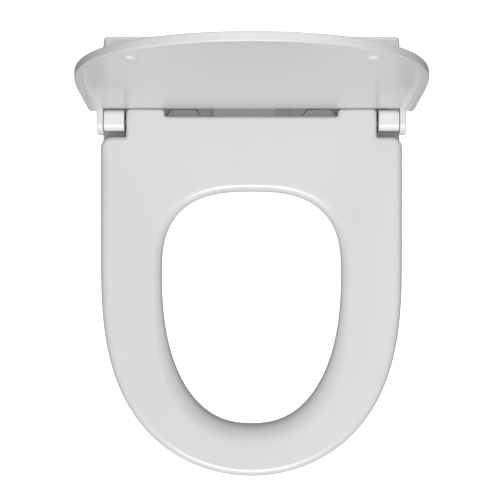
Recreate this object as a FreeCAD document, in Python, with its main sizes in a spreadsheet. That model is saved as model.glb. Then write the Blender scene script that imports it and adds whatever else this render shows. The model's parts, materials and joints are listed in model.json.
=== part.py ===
import FreeCAD, Part
import math
import os
import Sketcher
from FreeCAD import Placement, Rotation, Vector

# Electric bidet seat: a rear housing with its works, a seat ring and a lid.
# Millimetres. The origin is midway between the two fixing bolts, on the plane that the
# base stands on. +Z is up, the front of the seat is -Y, and +X is the sitter's left.

os.makedirs("parts", exist_ok=True)
doc = FreeCAD.newDocument("bidet_seat")

DIMENSIONS = {
    # Hinge line shared by the seat and the lid
    "axis_y": -13.5, "axis_z": 28, "pin_radius": 4, "running_gap": 0.05,
    # Seat ring
    "seat_half_width": 186, "seat_front_y": -451, "seat_side_end_y": -170,
    "seat_rear_y": -33, "seat_bottom_z": 9, "seat_top_z": 40, "seat_wall": 3,
    "seat_edge_round": 7, "seat_corner_round": 12,
    "opening_half_width": 110.6, "opening_centre_y": -200,
    "opening_rear_reach": 100, "opening_front_reach": 186.4,
    "tongue_half_width": 154.3, "tongue_rear_y": -7.3, "leg_inner_x": 106.6,
    "leg_round": 15.5, "channel_half_width": 48, "channel_top_z": 31,
    # Lid, drawn closed
    "lid_half_width": 196, "lid_front_y": -459.5, "lid_side_end_y": -160,
    "lid_rear_y": -23.5, "lid_top_z": 47, "lid_panel": 4, "lid_skirt_z": 36.5,
    "lid_rim": 8, "lid_corner_round": 26, "lid_open_angle": 95,
    "ear_inner_x": 182.3, "ear_outer_x": 190.3, "ear_round": 16.5,
    "lid_bumper_x": 127.7, "lid_bumper_y": -341.5, "lid_bumper_radius": 8,
    # Hinge blocks
    "block_inner_x": 155.1, "block_outer_x": 181, "block_half_depth": 14,
    "block_top_z": 42, "block_round": 8, "block_end_wall": 3, "damper_radius": 8.9,
    # Base
    "toe_inner_x": 148, "toe_front_y": -41,
    "tray_half_width": 185, "tray_front_y": -28, "tray_bottom_z": 1, "tray_top_z": 6,
    "deck_top_z": 8, "deck_half_width": 181,
    "cover_half_width": 180.8, "cover_front_y": 10, "cover_rear_y": 89,
    "cover_top_z": 58, "cover_wall": 2.5, "cover_round": 5, "vent_width": 2.4,
    "vent_low_z": 24, "vent_top_z": 46, "bay_half_width": 47,
    "bay_top_z": 30,
    # Fixings
    "bolt_spacing": 155, "bolt_radius": 4, "bolt_head_radius": 8, "bolt_length": 60,
    "shank_length": 30, "thread_radius": 3.6, "plate_half_width": 105,
    "plate_front_y": -23, "plate_rear_y": 45, "plate_thick": 3, "slot_half": 15,
    "slot_half_width": 4.3, "well_radius": 9,
    "trap_x": 85, "trap_front_half": 24.2, "trap_rear_half": 13.8, "trap_half_depth": 8,
    "trap_top_z": 10.5,
    # Wands, measured along their own slope from the tip
    "wand_x": 9, "wand_radius": 4.5, "wand_length": 158, "wand_bore": 2,
    "wand_tip_y": -72, "wand_tip_z": 7, "wand_tilt": 7,
    "pinion_place": 95, "tooth_module": 0.8, "pinion_teeth": 14, "pinion_thick": 5,
    "pitch_line": 5.9, "cradle_start": 46, "cradle_end": 64, "cradle_half_width": 12.2,
    "bay_cover_end": 82.6, "bay_cover_low": 5, "bay_cover_thick": 0.7,
    "stepper_radius": 7.5,
    "guard_half_width": 22, "guard_front_y": -80, "guard_top_z": 24, "guard_wall": 1.5,
    # Water side
    "inlet_x": -150, "inlet_y": 66, "inlet_radius": 10.48, "inlet_length": 15,
    "tank_x": -95, "tank_y": 51, "tank_half": 33, "tank_top_z": 42, "tank_wall": 3,
    "pump_y": 30, "pump_z": 22, "pump_radius": 13,
    # Air side
    "blower_x": 80, "blower_y": 50, "blower_radius": 30, "blower_top_z": 36,
    "impeller_radius": 24, "duct_inner_x": 31, "duct_outer_x": 46, "duct_front_y": -76,
    "duct_bottom_z": 8.2, "duct_top_z": 20.5, "duct_wall": 1.5,
    "fan_x": 130, "fan_y": 30, "fan_radius": 12,
    # Electrics and buttons
    "gland_x": 150, "gland_y": 66, "gland_bore": 4, "gland_radius": 8,
    "button_radius": 5, "button_proud": 1.5, "button_z": 43,
}

sheet = doc.addObject("Spreadsheet::Sheet", "Dims")
for row, (alias, number) in enumerate(DIMENSIONS.items(), 1):
    sheet.set(f"A{row}", alias)
    sheet.set(f"B{row}", str(number))
    sheet.setAlias(f"B{row}", alias)
doc.recompute()


class Size:
    """A length together with the sheet formula that it comes from."""

    def __init__(self, number, formula=None):
        self.number = float(number)
        self.formula = formula or f"({number})"

    def __add__(self, other):
        other = size(other)
        return Size(self.number + other.number, f"({self.formula} + {other.formula})")

    def __sub__(self, other):
        other = size(other)
        return Size(self.number - other.number, f"({self.formula} - {other.formula})")

    def __mul__(self, other):
        other = size(other)
        return Size(self.number * other.number, f"({self.formula} * {other.formula})")

    def __truediv__(self, other):
        other = size(other)
        return Size(self.number / other.number, f"({self.formula} / {other.formula})")

    def __radd__(self, other):
        return size(other) + self

    def __rsub__(self, other):
        return size(other) - self

    def __neg__(self):
        return Size(-self.number, f"(0 - {self.formula})")

    def __float__(self):
        return self.number


def size(length):
    return length if isinstance(length, Size) else Size(length)


class SheetSizes:
    """D.alias is the sheet's cell of that name, as a Size."""

    def __getattr__(self, alias):
        return Size(DIMENSIONS[alias], "Dims." + alias)


D = SheetSizes()
SUBPARTS = []


# ---------------------------------------------------------------- building helpers

def bind(thing, path, length):
    thing.setExpression(path, size(length).formula)


def place(thing, x, y, z, turn=None):
    """Puts a thing at a bound position, turned by a fixed Rotation."""
    thing.Placement = Placement(Vector(0, 0, 0), turn or Rotation())
    for letter, length in zip("xyz", (x, y, z)):
        bind(thing, "Placement.Base." + letter, length)
    return thing


def box(name, x, y, z):
    """A block between two limits in each of X, Y and Z."""
    block = doc.addObject("Part::Box", name)
    for prop, (low, high) in zip(("Length", "Width", "Height"), (x, y, z)):
        bind(block, prop, high - size(low))
    return place(block, x[0], y[0], z[0])


AXIS_TURNS = {
    "x": Rotation(Vector(0, 1, 0), 90),
    "y": Rotation(Vector(1, 0, 0), -90),
    "z": Rotation(),
}


def rod(name, axis, radius, across, along):
    """A cylinder along one axis; across holds its other two coordinates in X, Y, Z order."""
    cylinder = doc.addObject("Part::Cylinder", name)
    bind(cylinder, "Radius", radius)
    bind(cylinder, "Height", along[1] - size(along[0]))
    spot = list(across)
    spot.insert("xyz".index(axis), along[0])
    return place(cylinder, *spot, AXIS_TURNS[axis])


def fuse(name, *things):
    union = doc.addObject("Part::MultiFuse", name)
    union.Shapes = list(things)
    return union


def cut(name, base, *tools):
    difference = doc.addObject("Part::Cut", name)
    difference.Base = base
    difference.Tool = tools[0] if len(tools) == 1 else fuse(name + "_tools", *tools)
    return difference


def common(name, first, second):
    shared = doc.addObject("Part::Common", name)
    shared.Base = first
    shared.Tool = second
    return shared


def mirrored(thing):
    """The thing's mirror image across the middle plane X = 0."""
    image = doc.addObject("Part::Mirroring", thing.Name + "_mirror")
    image.Source = thing
    image.Normal = Vector(1, 0, 0)
    return image


def group(name, *things):
    """Separate solids that share one node."""
    bundle = doc.addObject("Part::Compound", name)
    bundle.Links = list(things)
    return bundle


def rounded(name, base, radius, wanted):
    """Rounds the edges of base for which wanted(edge) is true."""
    doc.recompute()
    fillet = doc.addObject("Part::Fillet", name)
    fillet.Base = base
    length = float(radius)
    fillet.Edges = [
        (number, length, length)
        for number, edge in enumerate(base.Shape.Edges, 1) if wanted(edge)
    ]
    return fillet


def runs_along(letter, test=lambda middle: True):
    """Chooses straight edges along one axis whose middle passes the test."""
    def wanted(edge):
        ends = [vertex.Point for vertex in edge.Vertexes]
        if len(ends) != 2:
            return False
        step = ends[1] - ends[0]
        others = [abs(getattr(step, other)) for other in "xyz" if other != letter]
        return max(others) < 1e-6 and test((ends[0] + ends[1]) / 2)
    return wanted


def at_height(z):
    """Chooses the edges that lie in the level plane at z."""
    def wanted(edge):
        return abs(edge.BoundBox.ZMin - z) < 1e-4 and abs(edge.BoundBox.ZMax - z) < 1e-4
    return wanted


def sketched(body, role, points):
    """A closed outline of straight lines with every corner bound to the sheet."""
    sketch = body.newObject("Sketcher::SketchObject", body.Name + "_outline")
    plane = next(item for item in body.Origin.OriginFeatures if item.Role == role)
    sketch.AttachmentSupport = [(plane, "")]
    sketch.MapMode = "FlatFace"
    corners = [(size(across), size(up)) for across, up in points]
    count = len(corners)
    for index in range(count):
        start, end = corners[index], corners[(index + 1) % count]
        sketch.addGeometry(Part.LineSegment(
            Vector(float(start[0]), float(start[1]), 0),
            Vector(float(end[0]), float(end[1]), 0)), False)
    for index in range(count):
        sketch.addConstraint(Sketcher.Constraint("Coincident", index, 2, (index + 1) % count, 1))
    for index, corner in enumerate(corners):
        for kind, length in zip(("DistanceX", "DistanceY"), corner):
            rule = sketch.addConstraint(Sketcher.Constraint(kind, index, 1, float(length)))
            sketch.setExpression(f"Constraints[{rule}]", length.formula)
    return sketch


def turned(name, profile, spot=(0, 0, 0), turn=None):
    """A turned body: a profile of (radius, height) corners swept round its upright axis."""
    body = doc.addObject("PartDesign::Body", name)
    revolution = body.newObject("PartDesign::Revolution", name + "_turning")
    revolution.Profile = sketched(body, "XZ_Plane", profile)
    revolution.ReferenceAxis = (revolution.Profile[0], ["V_Axis"])
    revolution.Angle = 360
    body.Tip = revolution
    return place(body, *spot, turn)


def padded(name, outline, z, height):
    """A flat body: an outline of (X, Y) corners raised from the level z by a height."""
    body = doc.addObject("PartDesign::Body", name)
    pad = body.newObject("PartDesign::Pad", name + "_pad")
    pad.Profile = sketched(body, "XY_Plane", outline)
    bind(pad, "Length", height)
    body.Tip = pad
    return place(body, 0, 0, z)


def shaped(name, shape, placement=None):
    """A free-form shape, which neither a sketch nor a primitive fits."""
    feature = doc.addObject("Part::Feature", name)
    feature.Shape = shape
    if placement:
        feature.Placement = placement
    return feature


def subpart(name, thing):
    """Registers a finished piece under the name of its node."""
    thing.Label = name
    SUBPARTS.append(thing)
    return thing


def tilted(thing):
    """Moves a piece drawn along the wand's own axis onto the sloping line of the wands."""
    thing.Placement = Placement(Vector(0, 0, 0), Rotation(Vector(1, 0, 0), 1))
    bind(thing, "Placement.Base.y", D.wand_tip_y)
    bind(thing, "Placement.Base.z", D.wand_tip_z)
    thing.setExpression("Placement.Rotation.Angle", "Dims.wand_tilt * 1 deg")
    return thing


# ---------------------------------------------------------------- fixings

def make_fixings():
    bolt_x = D.bolt_spacing / 2
    plate = box("plate_blank", (-D.plate_half_width, D.plate_half_width),
                (D.plate_front_y, D.plate_rear_y), (0, D.plate_thick))
    slots = [box("plate_slot", (side - D.slot_half_width, side + D.slot_half_width),
                 (-D.slot_half, D.slot_half), (0, D.plate_thick))
             for side in (bolt_x, -bolt_x)]
    subpart("mounting_plate", cut("mounting_plate", plate, *slots))

    bolts, cones, washers, nuts = [], [], [], []
    for side in (bolt_x, -bolt_x):
        spot = (side, 0)
        neck = box("bolt_neck", (side - D.bolt_radius, side + D.bolt_radius),
                   (-D.bolt_radius, D.bolt_radius), (0, D.plate_thick))
        head = rod("bolt_head", "z", D.bolt_head_radius, spot, (D.plate_thick, D.tray_top_z))
        shank = rod("bolt_shank", "z", D.bolt_radius, spot, (-D.shank_length, 0))
        thread = rod("bolt_thread", "z", D.thread_radius, spot,
                     (-D.bolt_length, -D.shank_length))
        bolts.append(fuse("fixing_bolt", neck, head, shank, thread))
        cones.append(turned("cone_washer", (
            (D.thread_radius, -D.shank_length - 1), (7, -D.shank_length - 1),
            (13, -D.shank_length - 9), (13, -D.shank_length - 11),
            (D.thread_radius, -D.shank_length - 11)), (side, 0, 0)))
        washers.append(turned("flat_washer", (
            (D.thread_radius, -D.shank_length - 11), (11, -D.shank_length - 11),
            (11, -D.shank_length - 12.5), (D.thread_radius, -D.shank_length - 12.5)),
            (side, 0, 0)))
        nut_top = -D.shank_length - 12.5
        hub = turned("nut_hub", ((D.thread_radius, nut_top), (8, nut_top), (8, nut_top - 10),
                                 (D.thread_radius, nut_top - 10)), (side, 0, 0))
        wings = [box("nut_wing", (low, high), (-1.6, 1.6), (nut_top - 14, nut_top - 2))
                 for low, high in ((side + 7, side + 19), (side - 19, side - 7))]
        nuts.append(fuse("wing_nut", hub, *wings))
    subpart("fixing_bolts", group("fixing_bolts", *bolts))
    subpart("cone_washers", group("cone_washers", *cones))
    subpart("flat_washers", group("flat_washers", *washers))
    subpart("wing_nuts", group("wing_nuts", *nuts))


# ---------------------------------------------------------------- base

# Slots that let the dryer's blower and the deodorizer breathe, in the cover's rear wall
VENT_PITCH = 5.5
VENT_PLACES = [centre + (step - (count - 1) / 2) * VENT_PITCH
               for centre, count in ((80, 9), (140, 5)) for step in range(count)]
SCREW_SPOTS = ((172.5, 52), (172.5, 81), (-172.5, 52), (-172.5, 81))
PAD_SPOTS = ((150, -12), (-150, -12), (120, 70), (-120, 70))


def make_base():
    bolt_x = D.bolt_spacing / 2
    slab = box("tray_slab", (-D.tray_half_width, D.tray_half_width),
               (D.tray_front_y, D.cover_rear_y), (D.tray_bottom_z, D.tray_top_z))
    slab = rounded("tray_rounded", slab, 4, runs_along("z"))
    toe = box("tray_toe", (D.toe_inner_x, D.tray_half_width), (D.toe_front_y, D.plate_front_y),
              (D.tray_bottom_z, D.tray_top_z))
    toe = rounded("toe_rounded", toe, 4, lambda edge: (
        runs_along("z")(edge) and edge.BoundBox.YMax < DIMENSIONS["tray_front_y"]))
    slab = fuse("tray_with_toes", slab, toe, mirrored(toe))
    pocket = box("tray_pocket", (-D.plate_half_width - 0.5, D.plate_half_width + 0.5),
                 (D.plate_front_y - 0.5, D.plate_rear_y + 0.5),
                 (D.tray_bottom_z, D.plate_thick + 0.2))
    through = (D.tray_bottom_z, D.tray_top_z)
    wells = [rod("tray_well", "z", D.well_radius, (side, 0), through)
             for side in (bolt_x, -bolt_x)]
    ports = [rod("inlet_port", "z", 10.6, (D.inlet_x, D.inlet_y), through),
             rod("gland_port", "z", D.gland_radius, (D.gland_x, D.gland_y), through)]
    screw_holes = []
    for x, y in SCREW_SPOTS:
        screw_holes.append(rod("screw_hole", "z", 2.2, (x, y), through))
        screw_holes.append(rod("screw_sink", "z", 4, (x, y), (D.tray_bottom_z, 3)))
    subpart("base_tray", cut("base_tray", slab, pocket, *wells, *ports, *screw_holes))

    subpart("base_pads", group("base_pads", *[
        box("base_pad", (x - 14, x + 14), (y - 7, y + 7), (0, D.tray_bottom_z))
        for x, y in PAD_SPOTS]))

    screws = []
    for x, y in SCREW_SPOTS:
        screws.append(turned("cover_screw", (
            (0, D.tray_bottom_z), (3.6, D.tray_bottom_z), (3.6, 3), (2, 3), (2, 15), (0, 15)),
            (x, y, 0)))
    subpart("cover_screws", group("cover_screws", *screws))

    deck = box("deck_slab", (-D.deck_half_width, D.deck_half_width),
               (D.tray_front_y + 0.5, D.cover_front_y - 0.2), (D.tray_top_z, D.deck_top_z))
    deck_bay = box("deck_bay", (-D.bay_half_width, D.bay_half_width),
                   (D.tray_front_y, 6), (D.tray_top_z, D.deck_top_z))
    deck_wells = [rod("deck_well", "z", D.well_radius, (side, 0), (D.tray_top_z, D.deck_top_z))
                  for side in (bolt_x, -bolt_x)]
    subpart("front_deck", cut("front_deck", deck, deck_bay, *deck_wells))

    half = D.trap_half_depth
    trap = padded("bolt_cover", (
        (D.trap_x - D.trap_front_half, -half), (D.trap_x + D.trap_front_half, -half),
        (D.trap_x + D.trap_rear_half, half), (D.trap_x - D.trap_rear_half, half)),
        D.deck_top_z, D.trap_top_z - D.deck_top_z)
    subpart("bolt_covers", group("bolt_covers", trap, mirrored(trap)))


def make_rear_cover():
    wall = D.cover_wall
    half, front, rear = D.cover_half_width, D.cover_front_y, D.cover_rear_y
    outside = box("cover_outside", (-half, half), (front, rear), (D.tray_top_z, D.cover_top_z))
    outside = rounded("cover_rounded", outside, D.cover_round, lambda edge: (
        runs_along("z")(edge) or at_height(DIMENSIONS["cover_top_z"])(edge)))
    inside = box("cover_inside", (wall - half, half - wall), (front + wall, rear - wall),
                 (D.tray_top_z, D.cover_top_z - wall))
    bay = box("cover_bay", (-D.bay_half_width, D.bay_half_width), (front, front + wall),
              (D.tray_top_z, D.bay_top_z))
    drawer_hole = box("drawer_hole", (half - wall, half), (15, 45), (9, 29))
    button_holes = [rod("button_hole", "x", D.button_radius + 0.3, (y, D.button_z),
                        (half - wall, half)) for y in BUTTONS.values()]
    vents = [box("vent", (x - D.vent_width / 2, x + D.vent_width / 2), (rear - wall, rear),
                 (D.vent_low_z, D.vent_top_z)) for x in VENT_PLACES]
    shell = cut("cover_shell", outside, inside, bay, drawer_hole, *button_holes, *vents)
    bosses = []
    for x, y in SCREW_SPOTS:
        bosses.append(turned("screw_boss", (
            (2, D.tray_top_z), (4.5, D.tray_top_z), (4.5, 20), (0, 20), (0, 15), (2, 15)),
            (x, y, 0)))
        side = 1 if x > 0 else -1
        web = sorted((x + side * 4.4, side * 178.5))
        bosses.append(box("boss_web", tuple(web), (y - 1, y + 1), (D.tray_top_z, 20)))
    subpart("rear_cover", fuse("rear_cover", shell, *bosses))


# ---------------------------------------------------------------- hinges

def make_hinge_blocks():
    inner, outer = D.block_inner_x, D.block_outer_x
    axis = (D.axis_y, D.axis_z)
    block = box("block_blank", (inner, outer),
                (D.axis_y - D.block_half_depth, D.axis_y + D.block_half_depth),
                (D.deck_top_z, D.block_top_z))
    block = rounded("block_rounded", block, D.block_round,
                    runs_along("x", lambda middle: middle.z > 30))
    cavity_end = outer - D.block_end_wall
    cavity = rod("block_cavity", "x", D.damper_radius + 0.1, axis, (inner, cavity_end))
    eye = rod("block_eye", "x", D.pin_radius + D.running_gap, axis, (cavity_end, outer))
    right = cut("hinge_block_right", block, cavity, eye)
    subpart("hinge_block_right", right)
    subpart("hinge_block_left", mirrored(right))

    middle = (inner + cavity_end) / 2
    hole = D.pin_radius + D.running_gap
    for name, start, end in (("seat_dampers", inner, middle - 0.3),
                             ("lid_dampers", middle + 0.3, cavity_end)):
        barrel = cut(name + "_barrel", rod(name + "_case", "x", D.damper_radius, axis, (start, end)),
                     rod(name + "_eye", "x", hole, axis, (start, end)))
        subpart(name, group(name, barrel, mirrored(barrel)))

    seat_pin = rod("seat_pin", "x", D.pin_radius, axis, (D.tongue_half_width - 14, middle - 1.3))
    subpart("seat_pins", group("seat_pins", seat_pin, mirrored(seat_pin)))


# ---------------------------------------------------------------- seat and lid shapes

ROUND_STEPS = 14


def rounded_front(half_width, side_end_y, front_y, rear_y):
    """A plan that is straight at the sides and round in front.

    The half width falls as the square root of one minus the cube of the way forward.
    """
    reach = side_end_y - front_y
    points = []
    for step in range(-ROUND_STEPS, ROUND_STEPS + 1):
        turn = math.radians(90 * step / ROUND_STEPS)
        forward = math.cos(turn)
        across = math.copysign(math.sqrt(1 - forward ** 3), turn)
        points.append(Vector(half_width * across, side_end_y - reach * forward, 0))
    front = Part.BSplineCurve()
    front.interpolate(Points=points, InitialTangent=Vector(0, -1, 0), FinalTangent=Vector(0, 1, 0))
    rear_right, rear_left = Vector(half_width, rear_y, 0), Vector(-half_width, rear_y, 0)
    edges = [front.toShape(), Part.LineSegment(points[-1], rear_right).toShape(),
             Part.LineSegment(rear_right, rear_left).toShape(),
             Part.LineSegment(rear_left, points[0]).toShape()]
    return Part.Face(Part.Wire(edges))


def opening_plan(grow):
    """The opening: one blunt egg, fuller behind its widest line than in front of it."""
    half_width = DIMENSIONS["opening_half_width"] + grow
    centre_y = DIMENSIONS["opening_centre_y"]
    points = []
    steps = 4 * ROUND_STEPS
    for step in range(steps):
        angle = 2 * math.pi * step / steps
        across, along = math.cos(angle), math.sin(angle)
        if along > 0:
            reach, power = DIMENSIONS["opening_rear_reach"] + grow, 2.7
        else:
            reach, power = DIMENSIONS["opening_front_reach"] + grow, 2.35
        radius = (abs(across / half_width) ** power + abs(along / reach) ** power) ** (-1 / power)
        points.append(Vector(radius * across, centre_y + radius * along, 0))
    edge = Part.BSplineCurve()
    edge.interpolate(Points=points, PeriodicFlag=True)
    return Part.Face(Part.Wire([edge.toShape()]))


def raised(face, low, high):
    lifted = face.copy()
    lifted.translate(Vector(0, 0, low))
    return lifted.extrude(Vector(0, 0, high - low))


def block(x, y, z):
    """A plain block for shapes that are made in code."""
    return Part.makeBox(x[1] - x[0], y[1] - y[0], z[1] - z[0], Vector(x[0], y[0], z[0]))


def seat_plan(inset, rear_y):
    n = DIMENSIONS
    return rounded_front(n["seat_half_width"] - inset, n["seat_side_end_y"],
                         n["seat_front_y"] + inset, rear_y)


def hinge_round(radius, low_x, high_x):
    """A disc round the hinge line, as long as low_x to high_x."""
    n = DIMENSIONS
    return Part.makeCylinder(radius, high_x - low_x, Vector(low_x, n["axis_y"], n["axis_z"]),
                             Vector(1, 0, 0))


def seat_ring_solid():
    """The outside of the seat before it is hollowed: ring, tongue and two hinge legs."""
    n = DIMENSIONS
    low, top = n["seat_bottom_z"], n["seat_top_z"]
    ring = raised(seat_plan(0, n["seat_rear_y"]), low, top)
    corners = [edge for edge in ring.Edges if runs_along(
        "z", lambda middle: middle.y > n["seat_rear_y"] - 1)(edge)]
    ring = ring.makeFillet(n["seat_corner_round"], corners)
    ring = ring.makeFillet(n["seat_edge_round"], [e for e in ring.Edges if at_height(top)(e)])
    ring = ring.cut(raised(opening_plan(0), low - 1, top + 1))
    ring = ring.makeFillet(6, [
        edge for edge in ring.Edges if at_height(top)(edge)
        and edge.BoundBox.XMax < n["opening_half_width"] + 1 and edge.BoundBox.YMax < -90])
    foot = n["axis_z"] - n["leg_round"]
    half, inner = n["tongue_half_width"], n["leg_inner_x"]
    tongue = block((-half, half), (-60, n["axis_y"]), (foot, top))
    hinge = hinge_round(n["leg_round"], -half, half)
    hinge = hinge.common(block((-half, half), (-40, 10), (0, top)))
    tongue = tongue.fuse(hinge)
    tongue = tongue.cut(block((-inner, inner), (n["tongue_rear_y"], 10), (0, 60)))
    step_out = block((-half - 40, half + 40), (-30, 10), (0, foot))
    return ring.fuse(tongue).cut(step_out).removeSplitter()


def make_seat():
    n = DIMENSIONS
    wall, low, top = n["seat_wall"], n["seat_bottom_z"], n["seat_top_z"]
    channel = n["channel_half_width"]
    hollow = raised(seat_plan(wall, n["seat_rear_y"] - wall), low, top - wall - 0.5)
    hollow = hollow.cut(raised(opening_plan(wall), low, top))
    middle_x = n["leg_inner_x"] - wall
    hollow = hollow.fuse(block((-middle_x, middle_x), (-50, n["tongue_rear_y"] - wall),
                               (low, top - wall - 0.5)))
    bay = block((-channel, channel), (-110, 10), (low - 1, n["channel_top_z"]))
    bay = bay.fuse(block((-channel, channel), (-30, 10), (low - 1, top - wall - 0.5)))
    pins = hinge_round(n["pin_radius"], -n["tongue_half_width"] - 1, 14 - n["tongue_half_width"])
    pins = pins.fuse(pins.mirror(Vector(0, 0, 0), Vector(1, 0, 0)))
    top_shell = seat_ring_solid().cut(hollow).cut(bay).cut(pins)
    subpart("seat_top_shell", shaped("seat_top_shell", top_shell))

    plan = seat_plan(wall + 0.2, n["seat_rear_y"] - wall - 0.2)
    floor = raised(plan, low, low + 2.5).cut(raised(opening_plan(wall + 0.2), low, low + 2.5))
    ribs = raised(plan, low + 2.5, n["channel_top_z"]).cut(
        raised(opening_plan(wall + 0.2), low, top))
    walls = block((-channel - 2.5, channel + 2.5), (-110, -30), (low, n["channel_top_z"] + 2.5))
    ribs = ribs.common(walls)
    bottom_shell = floor.fuse(ribs).cut(bay).removeSplitter()
    subpart("seat_bottom_shell", shaped("seat_bottom_shell", bottom_shell))

    film_top = top - wall - 0.5
    film = raised(seat_plan(14, n["seat_rear_y"] - 14), film_top - 1.2, film_top)
    film = film.cut(raised(opening_plan(12), film_top - 2, top))
    subpart("seat_heater", shaped("seat_heater", film))

    bumpers = []
    for x, y in ((150, -170), (-150, -170), (98, -375), (-98, -375)):
        pad = box("seat_bumper", (x - 7, x + 7), (y - 16, y + 16), (0, D.seat_bottom_z))
        bumpers.append(rounded("seat_bumper_rounded", pad, 3, runs_along("z")))
    subpart("seat_bumpers", group("seat_bumpers", *bumpers))


def lid_placement():
    """Turns a piece drawn with the lid closed to the open lid."""
    n = DIMENSIONS
    centre = Vector(0, n["axis_y"], n["axis_z"])
    return Placement(Vector(0, 0, 0), Rotation(Vector(1, 0, 0), -n["lid_open_angle"]), centre)


def make_lid():
    n = DIMENSIONS
    top, skirt = n["lid_top_z"], n["lid_skirt_z"]
    inner_z = top - n["lid_panel"]
    plan = rounded_front(n["lid_half_width"], n["lid_side_end_y"], n["lid_front_y"],
                         n["lid_rear_y"])
    shell = raised(plan, skirt, top)
    corners = [edge for edge in shell.Edges if runs_along(
        "z", lambda middle: middle.y > n["lid_rear_y"] - 1)(edge)]
    shell = shell.makeFillet(n["lid_corner_round"], corners)
    rim = n["lid_rim"]
    hollow = raised(rounded_front(n["lid_half_width"] - rim, n["lid_side_end_y"],
                                  n["lid_front_y"] + rim, 0), skirt - 1, inner_z)
    shell = shell.cut(hollow)
    ear = hinge_round(n["ear_round"], n["ear_inner_x"], n["ear_outer_x"])
    arm = block((n["ear_inner_x"], n["ear_outer_x"]), (n["axis_y"] - 19, n["axis_y"]),
                (n["axis_z"] + 6, top)).common(hinge_round(26, 0, 300))
    ear = ear.fuse(arm).cut(hinge_round(n["pin_radius"], n["ear_inner_x"] - 1, 186.5))
    both = ear.fuse(ear.mirror(Vector(0, 0, 0), Vector(1, 0, 0)))
    shell = shell.fuse(both).removeSplitter()
    subpart("lid_shell", shaped("lid_shell", shell, lid_placement()))

    bumpers = []
    for side in (1, -1):
        pad = Part.makeCylinder(n["lid_bumper_radius"], 2.6, Vector(
            side * n["lid_bumper_x"], n["lid_bumper_y"], inner_z - 2.6))
        bumpers.append(pad.makeFillet(1, [e for e in pad.Edges if at_height(inner_z - 2.6)(e)]))
    subpart("lid_bumpers", shaped("lid_bumpers", Part.Compound(bumpers), lid_placement()))

    middle = (D.block_inner_x + D.block_outer_x - D.block_end_wall) / 2
    lid_pin = rod("lid_pin", "x", D.pin_radius, (D.axis_y, D.axis_z), (middle + 1.3, 186.5))
    subpart("lid_pins", group("lid_pins", lid_pin, mirrored(lid_pin)))


# ---------------------------------------------------------------- wands

def rack_outline():
    """Rack bar with straight-sided teeth, drawn beside a wand whose axis is at X = 0."""
    n = DIMENSIONS
    pitch = math.pi * n["tooth_module"]
    root, crest = n["pitch_line"] - 1.0, n["pitch_line"] + n["tooth_module"]
    first_gap = n["pinion_place"]
    end = n["wand_length"]
    back = n["wand_radius"] - 1.5
    points = [Vector(back, first_gap - 4, 0), Vector(root, first_gap - 4, 0)]
    place_y = first_gap - pitch / 2
    while place_y + 1 < end:
        points += [Vector(root, place_y - 0.8, 0), Vector(crest, place_y - 0.3, 0),
                   Vector(crest, place_y + 0.3, 0), Vector(root, place_y + 0.8, 0)]
        place_y += pitch
    points += [Vector(root, end, 0), Vector(back, end, 0)]
    return Part.Face(Part.makePolygon(points + points[:1]))


def pinion_outline():
    """Pinion with one tooth pointing along -X, into the rack."""
    n = DIMENSIONS
    teeth, module = int(n["pinion_teeth"]), n["tooth_module"]
    pitch_radius = teeth * module / 2
    root, crest = pitch_radius - 1.0, pitch_radius + module
    points = []
    for tooth in range(teeth):
        angle = math.pi + 2 * math.pi * tooth / teeth
        radial = Vector(math.cos(angle), math.sin(angle), 0)
        across = Vector(-math.sin(angle), math.cos(angle), 0)
        points += [radial * root - across * 0.75, radial * crest - across * 0.3,
                   radial * crest + across * 0.3, radial * root + across * 0.75]
    return Part.Face(Part.makePolygon(points + points[:1]))


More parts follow.
